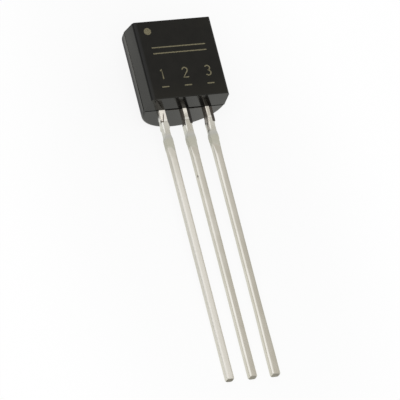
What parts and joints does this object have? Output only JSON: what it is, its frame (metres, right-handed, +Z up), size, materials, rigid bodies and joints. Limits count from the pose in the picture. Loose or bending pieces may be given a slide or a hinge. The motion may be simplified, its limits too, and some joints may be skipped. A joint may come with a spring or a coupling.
{
  "type": "voltage regulator",
  "caption": "Linear voltage regulator in a black D-shaped moulded package: flat marked face, round back, long straight in-line tinned leads; it lies on its back",
  "frame": {"origin": "middle of the base of the box that the device fills as it lies on a bench, on its round back and its lead tips", "axes": "+Z up off the bench; +Y from the lead tips to the top of the moulding; +X from the output lead to the input lead. The marked face looks up, tilted towards the lead tips by the rest angle of 6.92 degrees"},
  "size_m": [0.0046, 0.02, 0.0041],
  "materials": {
    "moulding_resin": "gloss",
    "tinned_copper": "satin",
    "silver_adhesive": "matte",
    "silicon": "gloss",
    "gold_wire": "gloss"
  },
  "bodies": {
    "root": {"moulded_body": "moulding_resin", "lead_output": "tinned_copper", "lead_ground": "tinned_copper", "lead_input": "tinned_copper", "die_attach": "silver_adhesive", "silicon_die": "silicon", "bond_wire_output": "gold_wire", "bond_wire_ground": "gold_wire", "bond_wire_input": "gold_wire"}
  },
  "joints": []
}
